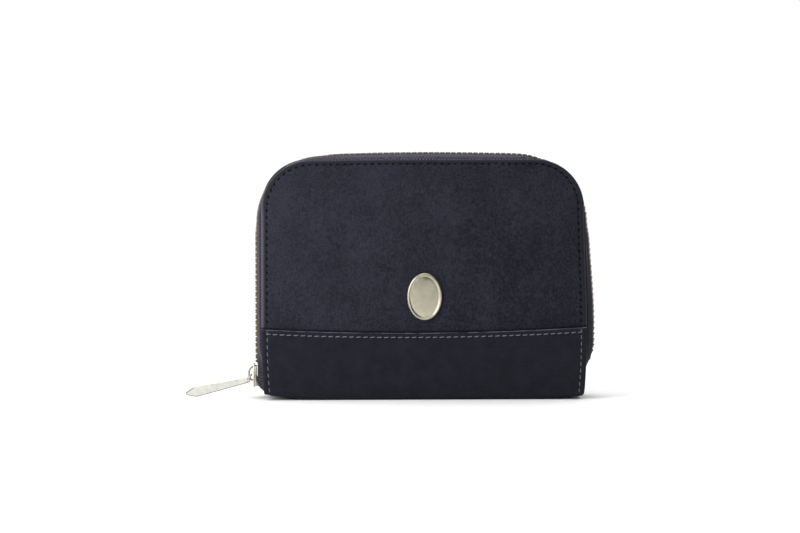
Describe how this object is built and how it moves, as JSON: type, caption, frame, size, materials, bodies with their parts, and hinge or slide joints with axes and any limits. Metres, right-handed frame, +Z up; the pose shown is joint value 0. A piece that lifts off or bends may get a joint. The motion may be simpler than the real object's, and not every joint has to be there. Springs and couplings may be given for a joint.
{
  "type": "zip-around wallet",
  "caption": "Small rectangular wallet with rounded upper corners, closed by a zip round three sides, standing on its spine, with card pockets, note compartments and a zipped coin pocket.",
  "frame": {"origin": "on the resting surface, under the middle of the spine", "axes": "+X along the width to the viewer's right, -Y out of the front cover, +Z up from the spine to the zip along the top"},
  "size_m": [0.1692, 0.0257, 0.1025],
  "materials": {
    "suede": "matt napped suede",
    "leather": "smooth fine-grained, satin",
    "pocket_leather": "smooth, satin",
    "lining": "twill weave, matt",
    "board": "bonded leather board, matt",
    "zip_tape": "woven zip tape, matt",
    "nylon": "nylon coil, satin",
    "brass": "polished brass",
    "pale_gold": "pale gold plate, polished"
  },
  "bodies": {
    "back_cover": {"back_suede_panel": "suede", "spine_band": "leather", "back_stiffener": "board", "spine_stiffener": "board", "spine_lining": "lining", "back_lining": "lining", "back_card_pocket_1": "pocket_leather", "back_card_pocket_2": "pocket_leather", "back_card_pocket_3": "pocket_leather", "back_card_pocket_4": "pocket_leather", "back_zip_tape": "zip_tape", "back_zip_teeth": "brass", "back_top_stop": "brass", "zip_bottom_stop": "brass", "left_gusset": "lining", "right_gusset": "lining", "coin_pocket_tab": "lining"},
    "front_cover": {"front_suede_panel": "suede", "front_band": "leather", "front_stiffener": "board", "front_lining": "lining", "front_card_pocket_1": "pocket_leather", "front_card_pocket_2": "pocket_leather", "front_card_pocket_3": "pocket_leather", "front_card_pocket_4": "pocket_leather", "front_zip_tape": "zip_tape", "front_zip_teeth": "brass", "front_top_stop": "brass", "emblem_plate": "pale_gold", "emblem_backing": "brass"},
    "coin_pocket": {"coin_pocket_front_wall": "lining", "coin_pocket_back_wall": "lining", "coin_pocket_edge": "lining", "coin_zip_tape_front": "zip_tape", "coin_zip_tape_back": "zip_tape", "coin_zip_coil_front": "nylon", "coin_zip_coil_back": "nylon", "coin_zip_stop_left": "brass", "coin_zip_stop_right": "brass"},
    "zip_slider": {"slider_body": "pale_gold", "slider_crown": "pale_gold"},
    "pull_ring": {"pull_ring": "pale_gold"},
    "pull_tab": {"pull_tab": "pale_gold"},
    "coin_slider": {"coin_slider_body": "pale_gold", "coin_slider_crown": "pale_gold"},
    "coin_pull": {"coin_pull_tab": "pale_gold"}
  },
  "joints": [
    {"name": "front_cover_hinge", "type": "hinge", "parent": "back_cover", "child": "front_cover", "pos_m": [0, -0.0115, 0.0005], "axis": [1, 0, 0], "range_deg": [0, 70], "deforming": ["left_gusset", "right_gusset", "front_top_stop"]},
    {"name": "coin_pocket_hinge", "type": "hinge", "parent": "back_cover", "child": "coin_pocket", "pos_m": [0, 0, 0.0025], "axis": [1, 0, 0], "range_deg": [0, 35], "deforming": ["coin_pocket_tab"]},
    {"name": "zip_slider_travel", "type": "slide", "parent": "back_cover", "child": "zip_slider", "axis": [0, 0, 1], "range_m": [0, 0.058], "deforming": ["front_zip_teeth", "back_zip_teeth"]},
    {"name": "pull_ring_hinge", "type": "hinge", "parent": "zip_slider", "child": "pull_ring", "pos_m": [-0.07175, 0, 0.0098], "axis": [0, 1, 0], "range_deg": [0, 55]},
    {"name": "pull_tab_hinge", "type": "hinge", "parent": "pull_ring", "child": "pull_tab", "pos_m": [-0.0735, 0, 0.00748], "axis": [0, 1, 0], "range_deg": [0, 45]},
    {"name": "coin_slider_travel", "type": "slide", "parent": "coin_pocket", "child": "coin_slider", "axis": [1, 0, 0], "range_m": [0, 0.08], "deforming": ["coin_zip_coil_front", "coin_zip_coil_back"]},
    {"name": "coin_pull_hinge", "type": "hinge", "parent": "coin_slider", "child": "coin_pull", "pos_m": [-0.0425, 0, 0.08855], "axis": [0, -1, 0], "range_deg": [0, 150]}
  ],
  "couplings": [
    {"joint": "coin_pocket_hinge", "follows": "front_cover_hinge", "ratio": 0.5}
  ]
}
